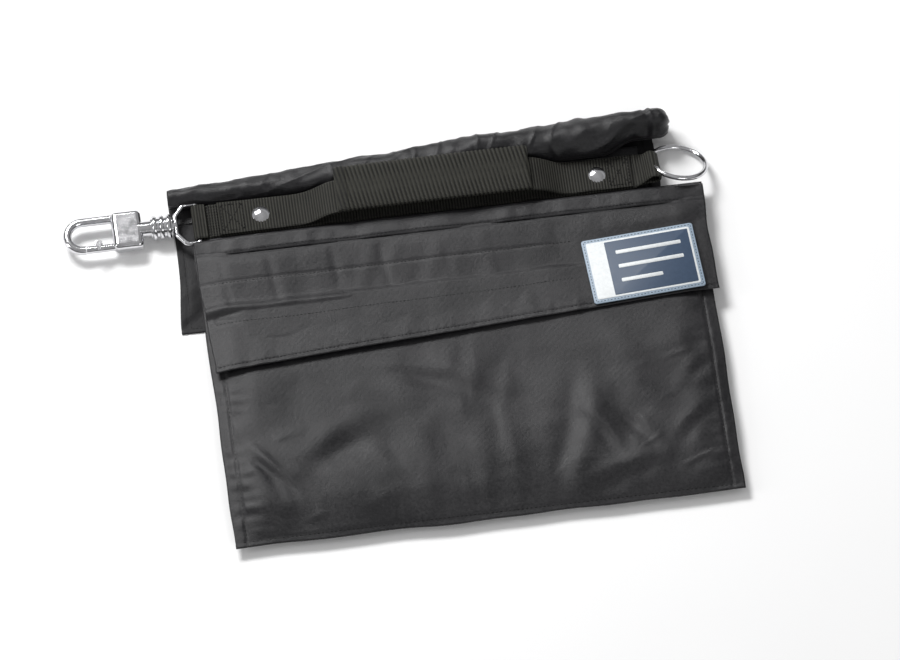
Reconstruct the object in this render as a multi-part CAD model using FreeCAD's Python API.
import FreeCAD, Part
import math
import os

# Saddle sandbag for light stands: two flat pouches hang either side of a webbing spine.
# Millimetres. While modelling, X runs along the spine, Y = 0 is the front crease, -Y is towards
# the front pouch's bottom hem and Z = 0 is the floor. The finished bag is moved so that its
# origin is the centre of its footprint.

V = FreeCAD.Vector
Y_AXIS = V(0, 1, 0)

# cloth and webbing
CLOTH = 0.8
WEBBING = 1.5
TAPE = 0.7
GAP = 0.3
EMBED = 0.1
CUT_OVERRUN = 1.0
HOLE_TOP_Z = 20.0
ALONG_X = 0.99

# front pouch
POUCH_HALF_WIDTH = 200.0
POUCH_LENGTH = 268.0
FRONT_POUCH_Z = 9.4
FRONT_POUCH_RISE = 6.5
CREASE_CLEARANCE = 0.5
SAND_INSET = 8.0
POUCH_SLOPE = 24.0

# front flap
FLAP_HINGE_Y = -33.0
FLAP_LEFT_LENGTH = 118.0
FLAP_RIGHT_LENGTH = 93.4
FLAP_LEFT_INSET = 3.0
FLAP_OVERHANG = 4.0
FLAP_Z = 18.4

# label
LABEL_WIDTH = 89.0
LABEL_HEIGHT = 57.0
LABEL_RIM = 3.0
LABEL_LEFT = 101.5
LABEL_TOP = -41.0
LABEL_BACKING = 0.6
LABEL_FACE = 0.4

# hook-and-loop closures
PATCH_COUNT = 4
PATCH_PITCH = 88.0
PATCH_FIRST_X = -160.0
PATCH_WIDTH = 38.0
PATCH_DEPTH = 25.0
PATCH_TOP_Y = -64.0
TAPE_HALF_WIDTH = 188.0
TAPE_TOP_Y = -62.0
TAPE_DEPTH = 29.0

# rear pouch, folded under the front one
REAR_LEFT = -198.0
REAR_RIGHT = 172.0
REAR_FOLD_Y = 54.0
REAR_BOTTOM_Y = -225.0
REAR_STEP_Y = -76.0
REAR_STEP_RUN = 3.0
REAR_PANEL_Z = 2.5
REAR_RISE = 5.0
REAR_FLAP_LEFT = -215.0
REAR_FLAP_HINGE_Y = 21.0
REAR_FLAP_END_Y = -72.0
REAR_TAPE_Y = -54.0
REAR_PATCH_Y = -52.0
REAR_YOKE_SETBACK = 4.0

# spine
BRIDGE_Z = 9.6
STRAP_WIDTH = 30.0
STRAP_Y = 20.0
STRAP_Z = BRIDGE_Z + CLOTH
BRIDGE_LEFT = -184.0
BRIDGE_RIGHT = 158.0
STRAP_LEFT = -186.0
STRAP_RIGHT = 148.0
TAB_SPANS = ((-165.0, -128.0), (107.0, 146.0))
TOP_ROLL_LEFT = -215.0
TOP_ROLL_RIGHT = 185.0
ROLL_FRONT_Y = 44.5
ROLL_Z = 9.3
ROLL_LEFT_DEPTH = 7.5
ROLL_LEFT_HEIGHT = 6.0
ROLL_RIGHT_DEPTH = 23.5
ROLL_RIGHT_HEIGHT = 23.7

# rivets
RIVET_X = (-144.0, 123.0)
RIVET_CAP_RADIUS = 7.5
RIVET_CAP_HEIGHT = 2.4
RIVET_SHANK_RADIUS = 2.5
RIVET_BACK_RADIUS = 6.0
RIVET_BACK_THICKNESS = 0.9

# carrying handle
GRIP_LEFT = -84.0
GRIP_RIGHT = 70.0
GRIP_WIDTH = 40.0
GRIP_Y = 25.0
GRIP_Z = 26.5
GRIP_THICKNESS = 6.0
GRIP_FILLET = 2.4
HANDLE_FOOT_GAP = 0.5
HANDLE_SHOULDER = 6.0

# snap hook
HOOK_Z = 10.2
EYE_BAR_X = -194.0
EYE_WIRE_RADIUS = 2.0
EYE_HALF_WIDTH = 17.5
EYE_SHOULDER_X = -204.0
EYE_TOP_X = -211.5
EYE_NECK_HALF = 8.0
EYE_BEND = 5.0
EYE_CORNER_BEND = 2.2
LOOP_CLEARANCE = 0.3
POST_RADIUS = 3.0
POST_HEAD_RADIUS = 4.5
POST_HEAD_X = -225.0
POST_END_X = -228.0
COLLAR_START_X = -214.4
COLLAR_RADIUS = 9.8
COLLAR_GROOVE_RADIUS = 8.2
COLLAR_RIDGES = 3
COLLAR_PITCH = 5.6
RIDGE_LENGTH = 3.8
RIDGE_FILLET = 1.52
NECK_RADIUS = 6.5
BARREL_START_X = -238.0
BARREL_END_X = -262.0
BARREL_HALF_WIDTH = 16.5
BARREL_HALF_HEIGHT = 6.0
BARREL_FILLET = 4.0
NECK_OVERLAP = 1.0
BARREL_OVERLAP = 4.0
HOOK_RADIUS = 12.5
HOOK_ROD_RADIUS = 3.5
HOOK_TIP_X = -284.0
HOOK_NOSE_EXTRA = 1.0
BEND_SLACK = 0.02
RUNNING_CLEARANCE = 0.1
BOLT_RADIUS = 3.0
BOLT_TAIL_X = -255.0
BOLT_BORE_END_X = -241.0
BOLT_BORE_CLEARANCE = 0.08
STUD_X = -274.0
STUD_RADIUS = 2.0
STUD_CAP_RADIUS = 3.2
STUD_HEIGHT = 8.0
STUD_CAP_HEIGHT = 1.6
STUD_FILLET = 0.64
SPRING_RADIUS = 2.3
SPRING_WIRE_RADIUS = 0.35
SPRING_TURNS = 5

# accessory ring
RING_RADIUS = 22.0
RING_WIRE_RADIUS = 2.0
RING_CENTRE = V(188.0, 22.2, 13.4)
RING_NORMAL = V(0.20, 0.45, 0.87)
RING_PIVOT = V(166.4, 20.0, 17.3)
RING_SWING = (0, -20, -40, -60)
RING_CLEARANCE = 0.6
RING_LOOP_END_RADIUS = 5.5
RING_LOOP_CENTRE_Z = 15.9


def box(x_range, y_range, z_range):
    size = [span[1] - span[0] for span in (x_range, y_range, z_range)]
    corner = V(x_range[0], y_range[0], z_range[0])
    return Part.makeBox(size[0], size[1], size[2], corner)


def cylinder(radius, start, end):
    direction = end - start
    return Part.makeCylinder(radius, direction.Length, start, direction)


def outline(points):
    return Part.makePolygon(points + [points[0]])


def plate(corners, z, thickness):
    """A flat piece with the given plan corners."""
    wire = outline([V(x, y, z) for x, y in corners])
    return Part.Face(wire).extrude(V(0, 0, thickness))


def side_profile(points, x_start, x_end):
    """A closed outline in the YZ plane, drawn out along the spine."""
    wire = outline([V(x_start, y, z) for y, z in points])
    return Part.Face(wire).extrude(V(x_end - x_start, 0, 0))


def end_profile(points, y_start, y_end):
    """A closed outline in the XZ plane, drawn out across the spine."""
    wire = outline([V(x, y_start, z) for x, z in points])
    return Part.Face(wire).extrude(V(0, y_end - y_start, 0))


def crown(x_range, y_range, z_base, rise, slope):
    """A low pad whose four sides slope up to a flat top."""
    levels = []
    for inset, z in ((0.0, z_base), (slope, z_base + rise)):
        left, right = x_range[0] + inset, x_range[1] - inset
        front, back = y_range[0] + inset, y_range[1] - inset
        corners = ((left, front), (right, front), (right, back), (left, back))
        levels.append(outline([V(x, y, z) for x, y in corners]))
    return Part.makeLoft(levels, True, True)


def shrink(span, amount):
    return (span[0] + amount, span[1] - amount)


def crowned_panel(x_range, y_range, z_base, rise, slope):
    """The upper cloth of a pouch, hollow underneath for its fill."""
    inside = crown(shrink(x_range, 4 * CLOTH), shrink(y_range, 4 * CLOTH), z_base - CLOTH, rise, slope)
    return crown(x_range, y_range, z_base, rise, slope).cut(inside)


def tangent_path(points, bends):
    """Straight runs joined by tangent arcs, one bend radius for each inner corner."""
    edges = []
    here = points[0]
    for corner in range(1, len(points) - 1):
        before = (points[corner - 1] - points[corner]).normalize()
        after = (points[corner + 1] - points[corner]).normalize()
        half_angle = before.getAngle(after) / 2
        reach = bends[corner] / math.tan(half_angle)
        inward = (before + after).normalize()
        centre = points[corner] + inward * (bends[corner] / math.sin(half_angle))
        arc_start = points[corner] + before * reach
        arc_end = points[corner] + after * reach
        edges.append(Part.LineSegment(here, arc_start).toShape())
        edges.append(Part.Arc(arc_start, centre - inward * bends[corner], arc_end).toShape())
        here = arc_end
    edges.append(Part.LineSegment(here, points[-1]).toShape())
    return Part.Wire(edges)


def rod(points, bends, radius):
    path = tangent_path(points, bends)
    start = path.Edges[0]
    first = start.valueAt(start.FirstParameter)
    direction = start.tangentAt(start.FirstParameter)
    section = Part.Wire([Part.makeCircle(radius, first, direction)])
    return path.makePipeShell([section], True, False)


def with_holes(shape, radius, z_low, z_high):
    """Clears the rivets' shanks through a layer of the spine."""
    for x in RIVET_X:
        shape = shape.cut(cylinder(radius, V(x, STRAP_Y, z_low), V(x, STRAP_Y, z_high)))
    return shape


def strap_span():
    return (STRAP_Y - STRAP_WIDTH / 2, STRAP_Y + STRAP_WIDTH / 2)


# --- front pouch -----------------------------------------------------------------------------

def front_pouch():
    width = (-POUCH_HALF_WIDTH, POUCH_HALF_WIDTH)
    depth = (-POUCH_LENGTH, -CREASE_CLEARANCE)
    inner_top = FRONT_POUCH_Z + CLOTH
    back = box(width, depth, (FRONT_POUCH_Z, inner_top))
    face = crowned_panel(width, depth, inner_top, FRONT_POUCH_RISE, POUCH_SLOPE)
    sand_width = shrink(width, SAND_INSET)
    sand_depth = shrink(depth, SAND_INSET)
    sand = crown(sand_width, sand_depth, inner_top, FRONT_POUCH_RISE - CLOTH - GAP, POUCH_SLOPE)
    tape_z = inner_top + FRONT_POUCH_RISE
    tape = box((-TAPE_HALF_WIDTH + PATCH_DEPTH, TAPE_HALF_WIDTH - PATCH_DEPTH),
               (TAPE_TOP_Y - TAPE_DEPTH, TAPE_TOP_Y), (tape_z, tape_z + TAPE))
    yoke_right = POUCH_HALF_WIDTH + FLAP_OVERHANG
    yoke = box((-POUCH_HALF_WIDTH, yoke_right), (FLAP_HINGE_Y + GAP, -CREASE_CLEARANCE),
               (FLAP_Z, FLAP_Z + CLOTH))
    return {"front_inner_panel": back, "front_outer_panel": face, "front_sand_fill": sand,
            "front_loop_tape": tape, "front_flap_yoke": yoke}


def flap_slope():
    """Angle between the flap's lower edge and the crease."""
    run = 2 * POUCH_HALF_WIDTH + FLAP_OVERHANG - FLAP_LEFT_INSET
    return math.atan2(FLAP_LEFT_LENGTH - FLAP_RIGHT_LENGTH, run)


def label_plate(inset, z, thickness):
    along = V(math.cos(flap_slope()), math.sin(flap_slope()), 0)
    down = V(math.sin(flap_slope()), -math.cos(flap_slope()), 0)
    top_left = V(LABEL_LEFT, LABEL_TOP, 0) + (along + down) * inset
    wide = along * (LABEL_WIDTH - 2 * inset)
    tall = down * (LABEL_HEIGHT - 2 * inset)
    corners = (top_left, top_left + wide, top_left + wide + tall, top_left + tall)
    return plate([(corner.x, corner.y) for corner in corners], z, thickness)


def front_flap():
    right = POUCH_HALF_WIDTH + FLAP_OVERHANG
    hinge = FLAP_HINGE_Y - GAP
    corners = ((-POUCH_HALF_WIDTH, hinge), (-POUCH_HALF_WIDTH + FLAP_LEFT_INSET, -FLAP_LEFT_LENGTH),
               (right, -FLAP_RIGHT_LENGTH), (right, hinge))
    top = FLAP_Z + CLOTH
    patches = []
    for index in range(PATCH_COUNT):
        x = PATCH_FIRST_X + index * PATCH_PITCH
        patches.append(box((x - PATCH_WIDTH / 2, x + PATCH_WIDTH / 2),
                           (PATCH_TOP_Y - PATCH_DEPTH, PATCH_TOP_Y), (FLAP_Z - TAPE, FLAP_Z)))
    return {"front_flap_panel": plate(corners, FLAP_Z, CLOTH),
            "front_hook_tapes": Part.makeCompound(patches),
            "label_backing": label_plate(0.0, top, LABEL_BACKING),
            "label_face": label_plate(LABEL_RIM, top + LABEL_BACKING, LABEL_FACE)}


# --- rear pouch ------------------------------------------------------------------------------

def rear_pouch():
    width = (REAR_LEFT, REAR_RIGHT)
    top = REAR_PANEL_Z + CLOTH
    step_end = REAR_STEP_Y - REAR_STEP_RUN
    profile = ((REAR_FOLD_Y, REAR_PANEL_Z), (REAR_STEP_Y, REAR_PANEL_Z), (step_end, 0.0),
               (REAR_BOTTOM_Y, 0.0), (REAR_BOTTOM_Y, CLOTH), (step_end + CLOTH / 2, CLOTH),
               (REAR_STEP_Y + CLOTH / 2, top), (REAR_FOLD_Y, top))
    under = side_profile(profile, REAR_LEFT, REAR_RIGHT)
    depth = (REAR_BOTTOM_Y, REAR_FOLD_Y)
    face = crowned_panel(width, depth, top, REAR_RISE, POUCH_SLOPE)
    sand_width = shrink(width, SAND_INSET)
    sand_depth = shrink(depth, SAND_INSET)
    sand = crown(sand_width, sand_depth, top, REAR_RISE - CLOTH - GAP, POUCH_SLOPE)
    belly = box(sand_width, (sand_depth[0], step_end - CLOTH), (CLOTH, top))
    tape = box((REAR_LEFT + PATCH_DEPTH, REAR_RIGHT - PATCH_DEPTH), (REAR_TAPE_Y, REAR_TAPE_Y + TAPE_DEPTH),
               (REAR_PANEL_Z - TAPE, REAR_PANEL_Z))
    yoke_depth = (REAR_FLAP_HINGE_Y + GAP, REAR_FOLD_Y - REAR_YOKE_SETBACK)
    yoke = box((REAR_FLAP_LEFT, REAR_RIGHT), yoke_depth, (0.0, CLOTH))
    return {"rear_outer_panel": under, "rear_inner_panel": face, "rear_sand_fill": sand.fuse(belly),
            "rear_loop_tape": tape, "rear_flap_yoke": yoke}


def rear_flap():
    corners = ((REAR_FLAP_LEFT, REAR_FLAP_HINGE_Y - GAP), (REAR_RIGHT, REAR_FLAP_HINGE_Y - GAP),
               (REAR_RIGHT, REAR_FLAP_END_Y), (REAR_FLAP_LEFT, REAR_FLAP_END_Y))
    patch_depth = (REAR_PATCH_Y, REAR_PATCH_Y + PATCH_DEPTH)
    patches = []
    for index in range(PATCH_COUNT):
        x = PATCH_FIRST_X + index * PATCH_PITCH
        patches.append(box((x - PATCH_WIDTH / 2, x + PATCH_WIDTH / 2), patch_depth,
                           (CLOTH, CLOTH + TAPE)))
    return {"rear_flap_panel": plate(corners, 0.0, CLOTH), "rear_hook_tapes": Part.makeCompound(patches)}


# --- spine -----------------------------------------------------------------------------------

def roll_section(x, depth, height):
    """A flat-bottomed, round-topped section of the rolled cloth."""
    back_y = ROLL_FRONT_Y + depth
    shoulder_z = ROLL_Z + height - depth / 2
    front = V(x, ROLL_FRONT_Y, ROLL_Z)
    back = V(x, back_y, ROLL_Z)
    back_shoulder = V(x, back_y, shoulder_z)
    front_shoulder = V(x, ROLL_FRONT_Y, shoulder_z)
    top = V(x, ROLL_FRONT_Y + depth / 2, ROLL_Z + height)
    return Part.Wire([Part.LineSegment(front, back).toShape(),
                      Part.LineSegment(back, back_shoulder).toShape(),
                      Part.Arc(back_shoulder, top, front_shoulder).toShape(),
                      Part.LineSegment(front_shoulder, front).toShape()])


def rivets():
    tab_top = STRAP_Z + 2 * WEBBING
    shank_end = BRIDGE_Z - RIVET_BACK_THICKNESS
    caps = []
    backs = []
    for x in RIVET_X:
        dome_radius = (RIVET_CAP_RADIUS ** 2 + RIVET_CAP_HEIGHT ** 2) / (2 * RIVET_CAP_HEIGHT)
        dome_centre = V(x, STRAP_Y, tab_top + RIVET_CAP_HEIGHT - dome_radius)
        slab = cylinder(RIVET_CAP_RADIUS, V(x, STRAP_Y, tab_top), V(x, STRAP_Y, tab_top + RIVET_CAP_HEIGHT))
        cap = Part.makeSphere(dome_radius, dome_centre).common(slab)
        shank = cylinder(RIVET_SHANK_RADIUS, V(x, STRAP_Y, shank_end), V(x, STRAP_Y, tab_top + EMBED))
        caps.append(cap.fuse(shank).removeSplitter())
        back = cylinder(RIVET_BACK_RADIUS, V(x, STRAP_Y, shank_end), V(x, STRAP_Y, BRIDGE_Z))
        backs.append(back)
    backs = with_holes(Part.makeCompound(backs), RIVET_SHANK_RADIUS + RUNNING_CLEARANCE, 0.0, HOLE_TOP_Z)
    return Part.makeCompound(caps), backs


def loop_around(centre_x, centre_z, radius, tail_x):
    """A doubled end of webbing that turns round a bar."""
    end = cylinder(radius, V(centre_x, strap_span()[0], centre_z), V(centre_x, strap_span()[1], centre_z))
    tail = box(sorted((centre_x, tail_x)), strap_span(), (STRAP_Z, STRAP_Z + 2 * WEBBING))
    return end.fuse(tail).removeSplitter()


def ring_at(angle, wire_radius):
    ring = Part.makeTorus(RING_RADIUS, wire_radius, RING_CENTRE, RING_NORMAL)
    ring.rotate(RING_PIVOT, Y_AXIS, angle)
    return ring


def spine():
    shank_hole = RIVET_SHANK_RADIUS + RUNNING_CLEARANCE
    bridge = box((BRIDGE_LEFT, BRIDGE_RIGHT), (CREASE_CLEARANCE, ROLL_FRONT_Y), (BRIDGE_Z, STRAP_Z))
    webbing = box((STRAP_LEFT, STRAP_RIGHT), strap_span(), (STRAP_Z, STRAP_Z + WEBBING))
    tab_z = (STRAP_Z + WEBBING, STRAP_Z + 2 * WEBBING)
    tabs = [box(span, strap_span(), tab_z) for span in TAB_SPANS]
    caps, backs = rivets()
    bore_radius = EYE_WIRE_RADIUS + LOOP_CLEARANCE
    left = loop_around(EYE_BAR_X, HOOK_Z, bore_radius + WEBBING, STRAP_LEFT)
    bore = cylinder(bore_radius, V(EYE_BAR_X, -STRAP_WIDTH, HOOK_Z), V(EYE_BAR_X, 2 * STRAP_WIDTH, HOOK_Z))
    left = left.cut(bore)
    left = left.cut(bridge)
    right = loop_around(RING_PIVOT.x, RING_LOOP_CENTRE_Z, RING_LOOP_END_RADIUS, STRAP_RIGHT)
    for angle in RING_SWING:
        right = right.cut(ring_at(angle, RING_WIRE_RADIUS + RING_CLEARANCE))
    roll = Part.makeLoft([roll_section(TOP_ROLL_LEFT, ROLL_LEFT_DEPTH, ROLL_LEFT_HEIGHT),
                          roll_section(TOP_ROLL_RIGHT, ROLL_RIGHT_DEPTH, ROLL_RIGHT_HEIGHT)], True, True)
    return {"bridge_panel": with_holes(bridge, shank_hole, 0.0, HOLE_TOP_Z),
            "base_webbing": with_holes(webbing, shank_hole, 0.0, HOLE_TOP_Z),
            "left_handle_tab": with_holes(tabs[0], shank_hole, 0.0, HOLE_TOP_Z),
            "right_handle_tab": with_holes(tabs[1], shank_hole, 0.0, HOLE_TOP_Z),
            "rivet_caps": caps, "rivet_backs": backs,
            "left_end_loop": left, "right_end_loop": right, "top_roll": roll}


# --- handle ----------------------------------------------------------------------------------

def handle():
    foot_z = STRAP_Z + WEBBING + GAP
    slot_z = GRIP_Z + (GRIP_THICKNESS - WEBBING) / 2
    left_foot = TAB_SPANS[0][1] + HANDLE_FOOT_GAP
    right_foot = TAB_SPANS[1][0] - HANDLE_FOOT_GAP
    line = ((left_foot, foot_z), (GRIP_LEFT - HANDLE_SHOULDER, slot_z),
            (GRIP_RIGHT + HANDLE_SHOULDER, slot_z), (right_foot, foot_z))
    upper = [(x, z + WEBBING) for x, z in reversed(line)]
    strap = end_profile(list(line) + upper, strap_span()[0], strap_span()[1])
    sleeve = box((GRIP_LEFT, GRIP_RIGHT), (GRIP_Y - GRIP_WIDTH / 2, GRIP_Y + GRIP_WIDTH / 2),
                 (GRIP_Z, GRIP_Z + GRIP_THICKNESS))
    sleeve = sleeve.makeFillet(GRIP_FILLET, [e for e in sleeve.Edges if is_along_x(e)])
    slot = box((GRIP_LEFT - 1, GRIP_RIGHT + 1), (strap_span()[0] - GAP / 2, strap_span()[1] + GAP / 2),
               (slot_z - GAP, slot_z + WEBBING + GAP))
    return {"handle_webbing": strap, "grip_sleeve": sleeve.cut(slot)}


def is_along_x(edge):
    direction = edge.tangentAt(edge.FirstParameter)
    return abs(direction.x) > ALONG_X


# --- snap hook -------------------------------------------------------------------------------

def on_axis(x):
    return V(x, STRAP_Y, HOOK_Z)


def snap_eye():
    pieces = []
    for side in (-1, 1):
        plan = ((EYE_BAR_X, 0.0), (EYE_BAR_X, EYE_HALF_WIDTH), (EYE_SHOULDER_X, EYE_HALF_WIDTH),
                (EYE_TOP_X, EYE_NECK_HALF), (EYE_TOP_X, 0.0))
        points = [V(x, STRAP_Y + side * y, HOOK_Z) for x, y in plan]
        bends = [0.0, EYE_CORNER_BEND, EYE_BEND, EYE_BEND, 0.0]
        pieces.append(rod(points, bends, EYE_WIRE_RADIUS))
    pieces.append(cylinder(POST_RADIUS, on_axis(EYE_TOP_X), on_axis(POST_HEAD_X - EMBED)))
    head = cylinder(POST_HEAD_RADIUS, on_axis(POST_HEAD_X), on_axis(POST_END_X))
    return {"snap_eye": head.fuse(pieces).removeSplitter()}


def collar():
    length = COLLAR_RIDGES * COLLAR_PITCH
    body = cylinder(COLLAR_GROOVE_RADIUS, on_axis(COLLAR_START_X), on_axis(COLLAR_START_X - length))
    for index in range(COLLAR_RIDGES):
        start = COLLAR_START_X - index * COLLAR_PITCH - (COLLAR_PITCH - RIDGE_LENGTH) / 2
        ridge = cylinder(COLLAR_RADIUS, on_axis(start), on_axis(start - RIDGE_LENGTH))
        rims = [edge for edge in ridge.Edges if edge.Closed]
        body = body.fuse(ridge.makeFillet(RIDGE_FILLET, rims))
    return body


def snap_hook():
    neck = cylinder(NECK_RADIUS, on_axis(COLLAR_START_X - COLLAR_RIDGES * COLLAR_PITCH + NECK_OVERLAP),
                    on_axis(BARREL_START_X - BARREL_OVERLAP))
    side = (STRAP_Y - BARREL_HALF_WIDTH, STRAP_Y + BARREL_HALF_WIDTH)
    height = (HOOK_Z - BARREL_HALF_HEIGHT, HOOK_Z + BARREL_HALF_HEIGHT)
    barrel = box((BARREL_END_X, BARREL_START_X), side, height)
    barrel = barrel.makeFillet(BARREL_FILLET, barrel.Edges)
    points = [V(BARREL_END_X + BARREL_OVERLAP, STRAP_Y + HOOK_RADIUS, HOOK_Z),
              V(HOOK_TIP_X - HOOK_RADIUS - HOOK_NOSE_EXTRA, STRAP_Y + HOOK_RADIUS, HOOK_Z),
              V(HOOK_TIP_X - HOOK_RADIUS - HOOK_NOSE_EXTRA, STRAP_Y - HOOK_RADIUS, HOOK_Z),
              V(HOOK_TIP_X, STRAP_Y - HOOK_RADIUS, HOOK_Z)]
    hook = rod(points, [0.0, HOOK_RADIUS - BEND_SLACK, HOOK_RADIUS - BEND_SLACK, 0.0], HOOK_ROD_RADIUS)
    body = collar().fuse([neck, barrel, hook])
    swivel_start = on_axis(COLLAR_START_X + CUT_OVERRUN)
    swivel = cylinder(POST_RADIUS + RUNNING_CLEARANCE, swivel_start, on_axis(POST_HEAD_X))
    chamber = cylinder(POST_HEAD_RADIUS + RUNNING_CLEARANCE, on_axis(POST_HEAD_X + RUNNING_CLEARANCE),
                       on_axis(POST_END_X - RUNNING_CLEARANCE))
    bolt_y = STRAP_Y - HOOK_RADIUS
    bore = cylinder(BOLT_RADIUS + BOLT_BORE_CLEARANCE, V(BARREL_END_X - CUT_OVERRUN, bolt_y, HOOK_Z),
                    V(BOLT_BORE_END_X, bolt_y, HOOK_Z))
    return {"snap_hook_body": body.cut(swivel).cut(chamber).cut(bore).removeSplitter()}


def snap_bolt():
    y = STRAP_Y - HOOK_RADIUS
    pin = cylinder(BOLT_RADIUS, V(HOOK_TIP_X + GAP, y, HOOK_Z), V(BOLT_TAIL_X, y, HOOK_Z))
    top = HOOK_Z + STUD_HEIGHT
    stud = cylinder(STUD_RADIUS, V(STUD_X, y, HOOK_Z), V(STUD_X, y, top))
    cap = cylinder(STUD_CAP_RADIUS, V(STUD_X, y, top - EMBED), V(STUD_X, y, top + STUD_CAP_HEIGHT))
    cap = cap.makeFillet(STUD_FILLET, [edge for edge in cap.Edges if edge.Closed])
    return {"snap_bolt": pin.fuse([stud, cap]).removeSplitter()}


def bolt_spring():
    y = STRAP_Y - HOOK_RADIUS
    start_x = BOLT_TAIL_X + GAP + SPRING_WIRE_RADIUS
    length = BOLT_BORE_END_X - GAP - SPRING_WIRE_RADIUS - start_x
    helix = Part.makeHelix(length / SPRING_TURNS, length, SPRING_RADIUS)
    section = Part.Wire([Part.makeCircle(SPRING_WIRE_RADIUS, V(SPRING_RADIUS, 0, 0), Y_AXIS)])
    coil = Part.Wire(helix).makePipeShell([section], True, True)
    coil.rotate(V(0, 0, 0), Y_AXIS, 90)
    coil.translate(V(start_x, y, HOOK_Z))
    return {"bolt_spring": coil}


def ring():
    return {"accessory_ring": ring_at(0, RING_WIRE_RADIUS)}


def main():
    nodes = {}
    for group in (front_pouch, front_flap, rear_pouch, rear_flap, spine, handle,
                  snap_eye, snap_hook, snap_bolt, bolt_spring, ring):
        nodes.update(group())
    whole = Part.makeCompound(list(nodes.values())).optimalBoundingBox(False, False)
    footprint = V((whole.XMin + whole.XMax) / 2, (whole.YMin + whole.YMax) / 2, whole.ZMin)
    print("footprint centre moved to the origin:", footprint)
    os.makedirs("parts", exist_ok=True)
    for name, shape in nodes.items():
        shape.translate(footprint * -1)
        shape.exportStep("parts/" + name + ".step")


main()
